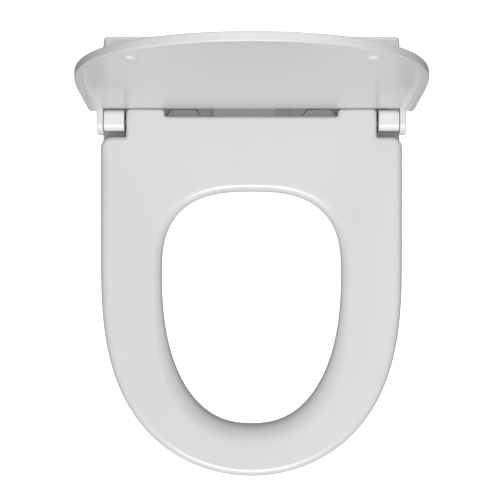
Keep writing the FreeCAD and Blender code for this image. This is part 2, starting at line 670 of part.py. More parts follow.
def make_wands():
    n = DIMENSIONS
    pitch_radius = n["pinion_teeth"] * n["tooth_module"] / 2
    rack = raised(rack_outline(), -2, 2)
    rear_x = n["wand_x"] + n["pitch_line"] + pitch_radius
    pinion = raised(pinion_outline(), -n["pinion_thick"] / 2, n["pinion_thick"] / 2)
    pinion = pinion.fuse(Part.makeCylinder(1.5, 12, Vector(0, 0, 0)))
    spot = Vector(rear_x, n["pinion_place"], 0)
    pinion.translate(spot)
    for name, side in (("rear", 1), ("front", -1)):
        tube = rod(name + "_tube", "y", D.wand_radius, (0, 0), (4, D.wand_length))
        bore = rod(name + "_bore", "y", D.wand_bore, (0, 0), (4, D.wand_length))
        teeth = shaped(name + "_rack", rack)
        body = cut(name + "_wand_right", fuse(name + "_stick", tube, teeth), bore)
        place(body, D.wand_x, 0, 0)
        cap = turned(name + "_cap", ((0, -4), (2.5, -4), (D.wand_radius - 0.1, -1.5),
                                     (D.wand_radius - 0.1, 4), (0, 4)),
                     (0, 0, 0), Rotation(Vector(1, 0, 0), -90))
        holes = [rod(name + "_jet", "z", 0.6, (x, y), (0, D.wand_radius))
                 for x, y in ((0, 0), (1.6, 1.4), (-1.6, 1.4))]
        cap = place(cut(name + "_tip_right", cap, *holes), D.wand_x, 0, 0)
        gear = shaped(name + "_gear", pinion)
        for node, piece in ((name + "_wand", body), (name + "_nozzle_tip", cap),
                            (name + "_pinion", gear)):
            whole = piece if side == 1 else mirrored(piece)
            subpart(node, tilted(group(node, whole)))

    cases = []
    case_low, case_high = 3.6, 19
    for side in (1, -1):
        case = rod("stepper_case", "z", D.stepper_radius, (side * rear_x, D.pinion_place),
                   (case_low, case_high))
        eye = rod("stepper_eye", "z", 1.5 + n["running_gap"], (side * rear_x, D.pinion_place),
                  (case_low, 12.6))
        flange = box("stepper_flange", (side * rear_x - 3.5, side * rear_x + 3.5),
                     (D.pinion_place - 10.5, D.pinion_place + 10.5), (case_low, case_low + 1.2))
        cases.append(cut("stepper", fuse("stepper_solid", case, flange), eye))
    subpart("stepper_motors", tilted(group("stepper_motors", *cases)))

    rail = box("cradle_rail", (-D.cradle_half_width, D.cradle_half_width),
               (D.cradle_start, D.cradle_end), (-14, 6.5))
    guides = [rod("cradle_guide", "y", D.wand_radius + D.running_gap, (side, 0),
                  (D.cradle_start, D.cradle_end)) for side in (D.wand_x, -D.wand_x)]
    cradle = tilted(cut("cradle_sloped", rail, *guides))
    under = box("cradle_under", (-20, 20), (-60, 30), (-20, D.tray_top_z))
    subpart("nozzle_cradle", cut("nozzle_cradle", cradle, under))

    sheet_over = box("bay_sheet", (0.2 - D.bay_half_width, D.duct_inner_x - 0.5),
                     (D.cradle_end, D.bay_cover_end),
                     (D.bay_cover_low, D.bay_cover_low + D.bay_cover_thick))
    subpart("bay_cover", tilted(group("bay_cover", sheet_over)))

    half, wall = D.guard_half_width, D.guard_wall
    hood = box("hood_outside", (-half, half), (D.guard_front_y, D.tray_front_y),
               (0.5, D.guard_top_z))
    hood = rounded("hood_rounded", hood, 4, runs_along("y", lambda middle: middle.z > 10))
    space = box("hood_inside", (wall - half, half - wall), (D.guard_front_y, D.tray_front_y),
                (0.5, D.guard_top_z - wall))
    subpart("nozzle_guard", cut("nozzle_guard", hood, space))


# ---------------------------------------------------------------- water side

def make_water():
    spot = (D.inlet_x, D.inlet_y, 0)
    stub = D.inlet_length
    subpart("inlet_connector", turned("inlet_connector", (
        (6, -stub), (D.inlet_radius, -stub), (D.inlet_radius, 0), (10.2, 0),
        (10.2, D.tray_top_z), (14, D.tray_top_z), (14, 10), (6, 10)), spot))
    subpart("inlet_filter", turned("inlet_filter", (
        (4.9, -12), (5.9, -12), (5.9, 4), (4.9, 4)), spot))

    across = (D.inlet_x, D.inlet_y)
    valve_body = box("valve_block", (D.inlet_x - 15, D.inlet_x + 15),
                     (D.inlet_y - 16, D.inlet_y + 16), (10, 26))
    valve_way = rod("valve_way", "z", 6, across, (10, 18))
    subpart("inlet_valve", cut("inlet_valve", valve_body, valve_way))
    coil = rod("coil_case", "z", 10, across, (26, 46))
    subpart("valve_coil", cut("valve_coil", coil, rod("coil_eye", "z", 3.5, across, (26, 40))))

    half, wall = D.tank_half, D.tank_wall
    x, y = D.tank_x, D.tank_y
    tank = box("tank_outside", (x - half, x + half), (y - half, y + half),
               (D.tray_top_z, D.tank_top_z))
    tank = rounded("tank_rounded", tank, 6, runs_along("z"))
    space = box("tank_inside", (x - half + wall, x + half - wall),
                (y - half + wall, y + half - wall), (D.tray_top_z + wall, D.tank_top_z - wall))
    subpart("heater_tank", cut("heater_tank", tank, space))
    bars = [rod("element_bar", "x", 3, (y + offset, 24), (x - half + wall + 2, x + half - wall))
            for offset in (-10, 10)]
    bend = rod("element_bend", "y", 3, (x - half + wall + 5, 24), (y - 10, y + 10))
    subpart("heater_element", fuse("heater_element", *bars, bend))

    along = (D.pump_y, D.pump_z)
    head = rod("pump_head", "x", D.pump_radius, along, (-176, -160))
    foot = box("pump_foot", (-174, -162), (D.pump_y - 8, D.pump_y + 8), (D.tray_top_z, 14))
    subpart("water_pump", fuse("water_pump", head, foot))
    motor = rod("pump_case", "x", 12, along, (-160, -134))
    nose = rod("pump_nose", "x", 5, along, (-134, -131))
    subpart("pump_motor", fuse("pump_motor", motor, nose))

    diverter = box("diverter_block", (-58, -36), (50, 80), (D.tray_top_z, 30))
    subpart("diverter_valve", rounded("diverter_valve", diverter, 2, runs_along("z")))

    runs = [
        rod("hose_to_tank", "x", 3, (D.inlet_y, 18), (D.inlet_x + 15, x - half)),
        rod("hose_to_diverter", "x", 3, (D.inlet_y, 18), (x + half, -58)),
        cut("hose_to_pump", rod("pump_run", "y", 3, (-163, 18), (36, 50)),
            rod("pump_keep_out", "x", D.pump_radius, along, (-176, -160))),
    ]
    subpart("hoses", group("hoses", *runs))


# ---------------------------------------------------------------- air side

def make_impeller(name, radius, bore_top, x, y, low, high, shaft_top):
    """Squirrel-cage wheel: a floor disc, a hub, a ring of blades and its shaft."""
    floor = rod(name + "_floor", "z", radius, (x, y), (low, low + 2))
    hub = rod(name + "_hub", "z", 5, (x, y), (low, bore_top))
    shaft = rod(name + "_shaft", "z", 2, (x, y), (low, shaft_top))
    blades = []
    count = 20
    for blade in range(count):
        vane = doc.addObject("Part::Box", name + "_blade")
        vane.Length, vane.Width = 5, 1
        bind(vane, "Height", high - size(low))
        angle = 360 * blade / count
        turn = Rotation(Vector(0, 0, 1), angle)
        start = turn.multVec(Vector(float(radius) - 5.2, -0.5, 0))
        blades.append(place(vane, x + start.x, y + start.y, low, turn))
    rim = cut(name + "_rim", rod(name + "_rim_out", "z", radius, (x, y), (high - 1.5, high)),
              rod(name + "_rim_in", "z", radius - 5.4, (x, y), (high - 1.5, high)))
    return fuse(name, floor, hub, shaft, rim, *blades)


def make_air():
    x, y, radius = D.blower_x, D.blower_y, D.blower_radius
    low, top = D.tray_top_z, D.blower_top_z
    case = rod("blower_case", "z", radius, (x, y), (low, top))
    space = rod("blower_space", "z", radius - 2, (x, y), (low + 2, top - 2))
    inlet = rod("blower_inlet", "z", 3.2, (x, y), (top - 2, top))
    grille = [rod("blower_grille", "z", 2.5, (x + dx, y + dy), (top - 2, top))
              for dx, dy in ((20, 0), (-20, 0), (0, 20), (0, -20))]
    outlet = box("blower_outlet", (x - radius, x - 18), (25, 35), (10, 19))
    housing = cut("blower_housing", case, space, inlet, *grille, outlet)
    subpart("blower_housing", housing)
    subpart("blower_impeller", make_impeller(
        "blower_impeller", D.impeller_radius, 30, x, y, 12, 31, top + 8))
    motor = rod("blower_motor_case", "z", 14, (x, y), (top, 52))
    subpart("blower_motor", cut("blower_motor", motor, rod(
        "blower_motor_eye", "z", 2 + D.running_gap, (x, y), (top, top + 9))))

    wall = D.duct_wall
    inner, outer = D.duct_inner_x, D.duct_outer_x
    front, bottom, duct_top = D.duct_front_y, D.duct_bottom_z, D.duct_top_z
    straight = box("duct_straight", (inner, outer), (front, 37), (bottom, duct_top))
    branch = box("duct_branch", (inner, x - 10), (23, 37), (bottom, duct_top))
    keep_out = rod("duct_keep_out", "z", radius, (x, y), (low, top))
    lumen = box("duct_lumen", (inner + wall, outer - wall), (front - 1, 37 - wall),
                (bottom + wall, duct_top - wall))
    branch_lumen = box("duct_branch_lumen", (inner + wall, x - 10), (23 + wall, 37 - wall),
                       (bottom + wall, duct_top - wall))
    ears = [box("duct_ear", (low_x, low_x + wall), (front - 3.5, front), (15, duct_top))
            for low_x in (inner, outer - wall)]
    hinge_y, hinge_z = front - 1.8, duct_top - 2
    pivots = rod("duct_pivot", "x", 1 + D.running_gap, (hinge_y, hinge_z), (inner, outer))
    duct = fuse("duct_solid", straight, branch, *ears)
    subpart("dryer_duct", cut("dryer_duct", duct, lumen, branch_lumen, pivots, keep_out))

    plates = [box("heater_plate", (inner + wall, outer - wall), (0, 16), (z, z + 0.8))
              for z in (11.5, 14, 16.5)]
    plates.append(box("heater_spine", (37.6, 39.4), (0, 16), (bottom + wall, duct_top - wall)))
    subpart("dryer_heater", fuse("dryer_heater", *plates))

    leaf = box("flap_leaf", (inner + wall + 0.3, outer - wall - 0.3),
               (hinge_y - 0.6, hinge_y + 0.6), (bottom, hinge_z))
    knuckle = rod("flap_knuckle", "x", 1, (hinge_y, hinge_z), (inner + 0.2, outer - 0.2))
    subpart("dryer_flap", fuse("dryer_flap", leaf, knuckle))


def make_deodorizer():
    x, y, half = D.fan_x, D.fan_y, 16
    low, high = D.tray_top_z, 30
    end = D.cover_half_width - D.cover_wall
    outside = box("deodorizer_outside", (x - half, end), (y - half, y + half), (low, high))
    fan_room = box("fan_room", (x - half + 1.5, x + half - 1.5), (y - half + 1.5, y + half - 1.5),
                   (low + 1.5, high - 1.5))
    window = box("fan_window", (x + half - 1.5, x + half), (y - 8, y + 8), (low + 4, high - 4))
    drawer_room = box("drawer_room", (x + half, end), (y - half + 1.5, y + half - 1.5),
                      (low + 2.5, high - 1.5))
    inlet = rod("fan_eye", "z", 2.2, (x, y), (high - 1.5, high))
    subpart("deodorizer_housing", cut("deodorizer_housing", outside, fan_room, window,
                                      drawer_room, inlet))
    subpart("deodorizer_rotor", make_impeller(
        "deodorizer_rotor", D.fan_radius, 24, x, y, 10, 24, high + 4))
    motor = rod("fan_motor_case", "z", 8, (x, y), (high, high + 12))
    subpart("deodorizer_motor", cut("deodorizer_motor", motor, rod(
        "fan_motor_eye", "z", 2 + D.running_gap, (x, y), (high, high + 5))))

    start = x + half + 0.6
    face = D.cover_half_width
    tray = box("drawer_tray", (start, face), (y - 13.7, y + 13.7), (9.2, 28))
    room = box("drawer_inside", (start + 1.5, end - 0.5), (y - 12.2, y + 12.2), (10.7, 28))
    panel = box("drawer_panel", (end + 0.2, face + 1), (y - 14.7, y + 14.7), (9.3, 28.7))
    grip = box("drawer_grip", (face, face + 1), (y - 8, y + 8), (17, 21))
    drawer = cut("filter_drawer", fuse("drawer_solid", tray, panel), room, grip)
    subpart("filter_drawer", drawer)
    subpart("carbon_filter", box("carbon_filter", (start + 1.5, end - 0.5),
                                 (y - 12.2, y + 12.2), (10.7, 26)))


# ---------------------------------------------------------------- electrics and buttons

BUTTONS = {"release_button": 26, "power_button": 50, "wash_button": 66}


def make_electrics():
    board_x, board_y = (114, 164), (50, 84)
    power = [box("power_sheet", board_x, board_y, (12, 13.6)),
             box("transformer", (120, 140), (54, 74), (13.6, 28)),
             rod("capacitor", "z", 5, (154, 76), (13.6, 26))]
    power += [rod("power_post", "z", 2, (px, py), (D.tray_top_z, 12))
              for px in (117, 161) for py in (53, 81)]
    subpart("power_board", fuse("power_board", *power))
    control = [box("control_sheet", (114, 164), board_y, (32, 33.6)),
               box("processor", (132, 144), (62, 74), (33.6, 35.6)),
               box("connector", (118, 126), (76, 83), (33.6, 39))]
    control += [rod("control_post", "z", 2, (px, py), (13.6, 32))
                for px in (117, 161) for py in (52.5, 81.5)]
    subpart("control_board", fuse("control_board", *control))
    bore, radius = D.gland_bore, D.gland_radius
    subpart("cord_gland", turned("cord_gland", (
        (bore, -5), (radius + 2, -5), (radius + 2, D.tray_bottom_z), (radius, D.tray_bottom_z),
        (radius, D.tray_top_z), (radius + 2, D.tray_top_z), (radius + 2, 8), (bore, 8)),
        (D.gland_x, D.gland_y, 0)))


def make_buttons():
    wall_in, wall_out = D.cover_half_width - D.cover_wall, D.cover_half_width
    for name, y in BUTTONS.items():
        across = (y, D.button_z)
        cap = rod(name + "_cap", "x", D.button_radius, across,
                  (wall_in - 1.5, wall_out + D.button_proud))
        cap = rounded(name + "_cap_rounded", cap, 0.5,
                      lambda edge: edge.BoundBox.XMin > float(wall_out) + 1)
        flange = rod(name + "_flange", "x", D.button_radius + 1.5, across,
                     (wall_in - 2, wall_in - 0.3))
        stem = rod(name + "_stem", "x", 2, across, (wall_in - 7, wall_in - 2))
        subpart(name, fuse(name, cap, flange, stem))


# ---------------------------------------------------------------- assembly

def check_document():
    """Stops if any object failed, or a sub-part has no valid solid."""
    for thing in doc.Objects:
        bad = {"Invalid", "Error"} & set(thing.State)
        if bad:
            raise RuntimeError(f"{thing.Name} ({thing.Label}) is {sorted(bad)}")
    for thing in SUBPARTS:
        shape = thing.Shape
        if shape.isNull() or not shape.isValid() or not shape.Solids:
            raise RuntimeError(f"{thing.Label} has no valid solid")


make_fixings()
make_base()
make_rear_cover()
make_hinge_blocks()
make_seat()
make_lid()
make_wands()
make_water()
make_air()
make_deodorizer()
make_electrics()
make_buttons()
doc.recompute()
check_document()
for piece in SUBPARTS:
    piece.Shape.exportStep(f"parts/{piece.Label}.step")
print(len(SUBPARTS), "sub-parts written")
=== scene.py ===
import json
import math

import bmesh
import bpy
from mathutils import Matrix, Vector


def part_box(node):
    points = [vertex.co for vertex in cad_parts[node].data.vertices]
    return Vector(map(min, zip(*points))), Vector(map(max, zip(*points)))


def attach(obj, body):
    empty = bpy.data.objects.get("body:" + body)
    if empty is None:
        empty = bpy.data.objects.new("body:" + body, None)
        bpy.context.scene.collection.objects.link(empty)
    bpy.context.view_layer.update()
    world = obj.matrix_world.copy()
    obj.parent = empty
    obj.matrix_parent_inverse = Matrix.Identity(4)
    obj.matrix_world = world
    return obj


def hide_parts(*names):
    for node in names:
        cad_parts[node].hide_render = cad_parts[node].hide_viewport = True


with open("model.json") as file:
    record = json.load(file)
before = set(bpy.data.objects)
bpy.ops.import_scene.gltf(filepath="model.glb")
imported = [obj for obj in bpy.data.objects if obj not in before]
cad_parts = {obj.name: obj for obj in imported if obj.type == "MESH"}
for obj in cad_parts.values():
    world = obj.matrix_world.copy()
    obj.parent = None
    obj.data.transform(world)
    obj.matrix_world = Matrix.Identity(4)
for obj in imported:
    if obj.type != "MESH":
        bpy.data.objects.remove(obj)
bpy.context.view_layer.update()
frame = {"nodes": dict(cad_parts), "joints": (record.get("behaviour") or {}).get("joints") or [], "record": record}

MM = 0.001

# ---------------------------------------------------------------- sizes, in millimetres
# The CAD's driving sizes, except that the lid is 2.5 mm wider on each side, and places
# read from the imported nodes.


def joint_row(name):
    return next(row for row in frame["joints"] if row["name"] == name)


AXIS_Y, AXIS_Z = (place * 1000 for place in joint_row("seat_hinge")["pos_m"][1:])
LID_OPEN_ANGLE = joint_row("lid_hinge")["range_deg"][1]

SEAT_LOW, SEAT_HIGH = (corner * 1000 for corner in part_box("seat_top_shell"))
SEAT_HALF, SEAT_TOP, SEAT_BOTTOM = 186.0, SEAT_HIGH.z, SEAT_LOW.z
SEAT_FRONT_Y, SEAT_SIDE_END_Y, SEAT_REAR_Y = -451.0, -170.0, -33.0
TONGUE_HALF, TONGUE_REAR_Y, LEG_INNER_X, LEG_REAR_Y = 154.3, -7.3, 106.6, 2.0
OPENING_HALF, OPENING_CENTRE_Y = 110.6, -200.0
OPENING_REAR, OPENING_FRONT = 100.0, 186.4
SEAT_CORNER, LEG_NOTCH, LEG_TOE = 13.0, 2.0, 5.0
LEG_FOOT_Z = AXIS_Z - 13.5
BAY_FRONT_Y, BAY_HALF, BAY_ROOF_Z = -130.0, 46.0, 31.0

LID_HALF, LID_FRONT_Y, LID_SIDE_END_Y, LID_REAR_Y = 198.5, -459.5, -160.0, -23.5
LID_TOP, LID_PANEL_Z, LID_SKIRT_Z, LID_CORNER = 47.0, 43.0, 36.5, 26.0
LID_MIDDLE_Y, LID_CROWN, LID_FILLET_INSET = -235.0, 1.4, 20.0
EAR_INNER_X, EAR_OUTER_X, EAR_RADIUS = 182.3, 190.3, 16.5
BUMPER_X, BUMPER_Y = 127.7, -341.5

BLOCK_FRONT_TRIM, BLOCK_INNER_SHIFT, BLOCK_OUTER_SHIFT = 2.4, 1.6, 0.8
BLOCK_FRONT_ROUND, BLOCK_REAR_ROUND = 9.0, 6.5
BOLT_COVER_X, BOLT_COVER_FRONT_HALF, BOLT_COVER_REAR_HALF = 85.0, 24.2, 16.0
BOLT_COVER_REAR_TRIM, BOLT_COVER_GAP = 4.2, 1.1

CAMERA_HEIGHT, CAMERA_Y, CAMERA_X = 2200.0, -172.0, -1.8
CAMERA_LENS, CAMERA_SENSOR = 126.4, 36.0
FLOOR_Z, FLOOR_REACH, FLOOR_GLOW = -430.0, 9000.0, 0.85
WORLD_STRENGTH = 0.2

LOOP_POINTS = 560       # points round the seat's and the lid's loops
ON_AXIS = 0.01          # a point nearer the middle line than this is on it


# ---------------------------------------------------------------- mesh helpers

def mesh_object(name, points, faces):
    """A mesh from points in millimetres."""
    mesh = bpy.data.meshes.new(name)
    mesh.from_pydata([Vector(point) * MM for point in points], [], faces)
    mesh.validate()
    made = bpy.data.objects.new(name, mesh)
    bpy.context.scene.collection.objects.link(made)
    for polygon in mesh.polygons:
        polygon.use_smooth = True
    return made


def facing_out(piece):
    """Turns every face of a closed mesh outwards."""
    work = bmesh.new()
    work.from_mesh(piece.data)
    bmesh.ops.recalc_face_normals(work, faces=work.faces)
    work.to_mesh(piece.data)
    work.free()
    return piece


def lofted(name, loops, joined=False, first_centre=None, last_centre=None):
    """Quads between closed loops with equal numbers of points.

    joined links the last loop to the first; a centre closes that end with a fan.
    """
    count = len(loops[0])
    points = [point for loop in loops for point in loop]
    faces = []
    pairs = list(zip(range(len(loops) - 1), range(1, len(loops))))
    if joined:
        pairs.append((len(loops) - 1, 0))
    for low, high in pairs:
        for index in range(count):
            after = (index + 1) % count
            faces.append((low * count + index, low * count + after,
                          high * count + after, high * count + index))
    for centre, start in ((first_centre, 0), (last_centre, (len(loops) - 1) * count)):
        if centre is not None:
            points.append(centre)
            tip = len(points) - 1
            faces += [(start + (index + 1) % count, start + index, tip)
                      for index in range(count)]
    return facing_out(mesh_object(name, points, faces))


def modified(piece, kind, **settings):
    """Adds a modifier and applies it, so that the piece's mesh is final."""
    modifier = piece.modifiers.new(kind.lower(), kind)
    for key, value in settings.items():
        setattr(modifier, key, value)
    bpy.context.view_layer.objects.active = piece
    with bpy.context.temp_override(object=piece, active_object=piece,
                                   selected_objects=[piece]):
        bpy.ops.object.modifier_apply(modifier=modifier.name)
    return piece


def bevelled(piece, width, segments=4, angle=30):
    """Rounds the edges sharper than angle, and evens out the shading."""
    modified(piece, "BEVEL", width=width * MM, segments=segments, limit_method="ANGLE",
             angle_limit=math.radians(angle), harden_normals=False)
    for polygon in piece.data.polygons:
        polygon.use_smooth = True
    return modified(piece, "WEIGHTED_NORMAL", weight=60, keep_sharp=False)


def prism(name, profile, low_x, high_x):
    """A (Y, Z) profile drawn out along X."""
    count = len(profile)
    points = [(low_x, y, z) for y, z in profile] + [(high_x, y, z) for y, z in profile]
    faces = [tuple(range(count)), tuple(range(2 * count - 1, count - 1, -1))]
    for index in range(count):
        after = (index + 1) % count
        faces.append((index, count + index, count + after, after))
    return facing_out(mesh_object(name, points, faces))


def lathed(name, profile, centre, steps=48):
    """A (radius, Z) profile turned round the upright line through centre."""
    loops = []
    for radius, z in profile:
        loops.append([(centre[0] + radius * math.cos(2 * math.pi * k / steps),
                       centre[1] + radius * math.sin(2 * math.pi * k / steps), z)
                      for k in range(steps)])
    return lofted(name, loops, first_centre=(centre[0], centre[1], profile[0][1]),
                  last_centre=(centre[0], centre[1], profile[-1][1]))


def arc(centre, radius, start, end, steps=8):
    """Points on an arc in a plane, angles in degrees."""
    return [(centre[0] + radius * math.cos(math.radians(start + (end - start) * k / steps)),
             centre[1] + radius * math.sin(math.radians(start + (end - start) * k / steps)))
            for k in range(steps + 1)]


def rounded_corner(before, corner, after, radius, steps=10):
    """The arc that rounds one corner of a plan."""
    corner = Vector(corner)
    back = (Vector(before) - corner).normalized()
    ahead = (Vector(after) - corner).normalized()
    half = back.angle(ahead) / 2
    reach = radius / math.tan(half)
    centre = corner + (back + ahead).normalized() * radius / math.sin(half)
    start, end = corner + back * reach - centre, corner + ahead * reach - centre
    sweep = math.atan2(start.x * end.y - start.y * end.x, start.dot(end))
    return [tuple(centre + Matrix.Rotation(sweep * k / steps, 2) @ start)
            for k in range(steps + 1)]


def resampled(path, count):
    """Evenly spaced points on a closed path, starting at its first point."""
    ring = [Vector(point) for point in path] + [Vector(path[0])]
    lengths = [(b - a).length for a, b in zip(ring, ring[1:])]
    total, spots, walked, index = sum(lengths), [], 0.0, 0
    for step in range(count):
        goal = total * step / count
        while walked + lengths[index] < goal:
            walked += lengths[index]
            index += 1
        share = (goal - walked) / lengths[index]
        spots.append(ring[index].lerp(ring[index + 1], share))
    return spots


def inward_normals(loop):
    """Unit normals that point into a closed anticlockwise loop."""
    count = len(loop)
    normals = []
    for index in range(count):
        along = loop[(index + 1) % count] - loop[index - 1]
        normals.append(Vector((-along.y, along.x)).normalized())
    return normals


def smooth_step(value, low, high):
    """Nought below low, one above high, and a smooth rise between them."""
    share = min(max((value - low) / (high - low), 0.0), 1.0)
    return share * share * (3 - 2 * share)


def round_front(half, side_end_y, front_y, steps=64):
    """The round front of seat and lid, from left to right."""
    points = []
    for step in range(-steps, steps + 1):
        turn = math.radians(90 * step / steps)
        forward = math.cos(turn)
        across = math.copysign(math.sqrt(1 - forward ** 3), turn)
        points.append((half * across, side_end_y - (side_end_y - front_y) * forward))
    return points


def whole_plan(right, half, side_end_y, front_y):
    """A closed outline from the right part of its rear: its front added, then mirrored."""
    front = round_front(half, side_end_y, front_y)
    right = right + [point for point in front if point[0] > ON_AXIS][::-1]
    left = [(-x, y) for x, y in right[::-1] if abs(x) > ON_AXIS]
    return resampled((right + [(0.0, front_y)] + left)[::-1], LOOP_POINTS)


# ---------------------------------------------------------------- materials

def shader(name):
    """A new material, with its node tree and its shader node."""
    material = bpy.data.materials.new(name)
    material.use_nodes = True
    tree = material.node_tree
    return material, tree, tree.nodes["Principled BSDF"]


def noise_node(tree, scale, detail, stretch=(1, 1, 1)):
    """Noise in the piece's own coordinates."""
    where = tree.nodes.new("ShaderNodeTexCoord")
    stretched = tree.nodes.new("ShaderNodeMapping")
    stretched.inputs["Scale"].default_value = stretch
    grain = tree.nodes.new("ShaderNodeTexNoise")
    grain.inputs["Scale"].default_value = scale
    grain.inputs["Detail"].default_value = detail
    tree.links.new(where.outputs["Object"], stretched.inputs["Vector"])
    tree.links.new(stretched.outputs["Vector"], grain.inputs["Vector"])
    return grain


def ramp(tree, source, low, high):
    """Maps a noise onto a span of plain values or of colours."""
    node = tree.nodes.new("ShaderNodeValToRGB")
    for stop, place, level in zip(node.color_ramp.elements, (0.35, 0.65), (low, high)):
        stop.position = place
        stop.color = (*(level if hasattr(level, "__len__") else (level,) * 3), 1)
    tree.links.new(source.outputs["Fac"], node.inputs["Fac"])
    return node


def surface(name, colour, roughness, spread=0.03, metallic=0.0, coat=0.0, grain=900.0,
            bump=0.04, cloud=14.0, tint=0.02, stretch=(1, 1, 1), specular=0.5, ior=1.5):
    """A procedural finish: clouded colour, uneven gloss and a fine surface grain."""
    material, tree, shade = shader(name)
    shade.inputs["Metallic"].default_value = metallic
    shade.inputs["Coat Weight"].default_value = coat
    shade.inputs["Coat Roughness"].default_value = 0.08
    shade.inputs["Specular IOR Level"].default_value = specular
    shade.inputs["IOR"].default_value = ior
    clouds = noise_node(tree, cloud, 4.0)
    low = [max(channel - tint, 0) for channel in colour]
    high = [min(channel + tint, 1) for channel in colour]
    tree.links.new(ramp(tree, clouds, low, high).outputs["Color"], shade.inputs["Base Color"])
    fine = noise_node(tree, grain, 2.0, stretch)
    gloss = noise_node(tree, cloud * 4, 5.0, stretch)
    tree.links.new(ramp(tree, gloss, roughness - spread, roughness + spread).outputs["Color"],
                   shade.inputs["Roughness"])
    dents = tree.nodes.new("ShaderNodeBump")
    dents.inputs["Strength"].default_value = bump
    dents.inputs["Distance"].default_value = 0.0002
    tree.links.new(fine.outputs["Fac"], dents.inputs["Height"])
    tree.links.new(dents.outputs["Normal"], shade.inputs["Normal"])
    return material


# Tuned against the greys seen under this light, so they aren't the record's base colours.
FINISHES = {
    "cover_plastic": dict(colour=(0.74, 0.74, 0.74), roughness=0.3, spread=0.01, coat=0.2,
                          tint=0.006, bump=0.02),
    "base_plastic": dict(colour=(0.62, 0.62, 0.62), roughness=0.42, grain=1500, bump=0.1),
    "grey_plastic": dict(colour=(0.74, 0.74, 0.745), roughness=0.45, grain=1800, bump=0.12),
    "seat_plastic": dict(colour=(0.64, 0.64, 0.64), roughness=0.32, spread=0.012, coat=0.12,
                         tint=0.005, bump=0.015),
    "lid_plastic": dict(colour=(0.68, 0.68, 0.68), roughness=0.34, spread=0.01, coat=0.12,
                        tint=0.003, bump=0.01),
    "bumper_rubber": dict(colour=(0.69, 0.69, 0.69), roughness=0.5, grain=2500, bump=0.12),
    "cord_rubber": dict(colour=(0.3, 0.3, 0.3), roughness=0.6, grain=2200, bump=0.25),
    "stainless": dict(colour=(0.55, 0.55, 0.56), roughness=0.3, metallic=1.0, grain=500,
                      bump=0.12, stretch=(1, 14, 1)),
    "nut_plastic": dict(colour=(0.62, 0.62, 0.62), roughness=0.45, bump=0.12),
    "damper_plastic": dict(colour=(0.06, 0.06, 0.065), roughness=0.4),
    "wand_plastic": dict(colour=(0.7, 0.7, 0.7), roughness=0.22, coat=0.3),
    "tip_plastic": dict(colour=(0.36, 0.38, 0.4), roughness=0.25, coat=0.2),
    "gear_plastic": dict(colour=(0.62, 0.58, 0.46), roughness=0.42, bump=0.1),
    "motor_steel": dict(colour=(0.42, 0.42, 0.44), roughness=0.34, metallic=1.0, grain=700,
                        bump=0.15, stretch=(1, 1, 12)),
    "inlet_brass": dict(colour=(0.62, 0.45, 0.2), roughness=0.28, metallic=1.0, grain=600,
                        bump=0.12, stretch=(1, 1, 16)),
    "mesh_steel": dict(colour=(0.4, 0.4, 0.4), roughness=0.35, metallic=1.0, grain=1600, bump=0.3),
    "works_plastic": dict(colour=(0.7, 0.7, 0.7), roughness=0.42, bump=0.14),
    "tank_plastic": dict(colour=(0.6, 0.54, 0.4), roughness=0.4, bump=0.1),
    "hose_rubber": dict(colour=(0.6, 0.6, 0.58), roughness=0.35),
    "flap_plastic": dict(colour=(0.66, 0.66, 0.66), roughness=0.25, coat=0.2),
    "drawer_plastic": dict(colour=(0.66, 0.66, 0.67), roughness=0.28, coat=0.2),
    "carbon": dict(colour=(0.02, 0.02, 0.02), roughness=0.8, grain=900, bump=0.9),
    "board": dict(colour=(0.02, 0.16, 0.06), roughness=0.3, cloud=90, tint=0.02),
    "heater_film": dict(colour=(0.5, 0.47, 0.42), roughness=0.3, metallic=0.6, cloud=60),
}


# ---------------------------------------------------------------- seat ring

SEAT_CENTRE = Vector((0.0, OPENING_CENTRE_Y))


def seat_plan():
    """The seat's outline from the middle of its rear edge, anticlockwise seen from above."""
    right = [(0.0, TONGUE_REAR_Y)]
    corners = [(0, TONGUE_REAR_Y), (LEG_INNER_X, TONGUE_REAR_Y), (LEG_INNER_X, LEG_REAR_Y),
               (TONGUE_HALF, LEG_REAR_Y), (TONGUE_HALF, SEAT_REAR_Y), (SEAT_HALF, SEAT_REAR_Y),
               (SEAT_HALF, SEAT_SIDE_END_Y)]
    radii = (LEG_NOTCH, LEG_TOE, LEG_TOE, LEG_NOTCH, SEAT_CORNER)
    for before, corner, after, radius in zip(corners, corners[1:], corners[2:], radii):
        right += rounded_corner(before, corner, after, radius)
    return whole_plan(right, SEAT_HALF, SEAT_SIDE_END_Y, SEAT_FRONT_Y)


def opening_point(angle, grow):
    """The opening's edge in one direction from its centre, grown outwards."""
    across, along = math.cos(angle), math.sin(angle)
    power = 2.7 if along > 0 else 2.35
    reach = (OPENING_REAR if along > 0 else OPENING_FRONT) + grow
    half = OPENING_HALF + grow
    radius = (abs(across / half) ** power + abs(along / reach) ** power) ** (-1 / power)
    return SEAT_CENTRE + radius * Vector((across, along))


def seat_edge_round(point):
    """How wide the rolled outer edge is: smaller on the tongue and its legs."""
    return 4.5 + 5.0 * smooth_step(-point.y, 25.0, 60.0)


def seat_roll_width(angle):
    """How wide the rolled edge of the opening is: narrow behind and broad in front."""
    along = math.sin(angle)
    return 13.5 + 15.0 * smooth_step(-along, 0.35, 1.0) - 3.0 * smooth_step(along, 0.2, 0.9)


def seat_roll_depth(angle):
    """How deep that rolled edge is: deeper in front."""
    return 11.0 + 6.0 * smooth_step(-math.sin(angle), 0.35, 1.0)


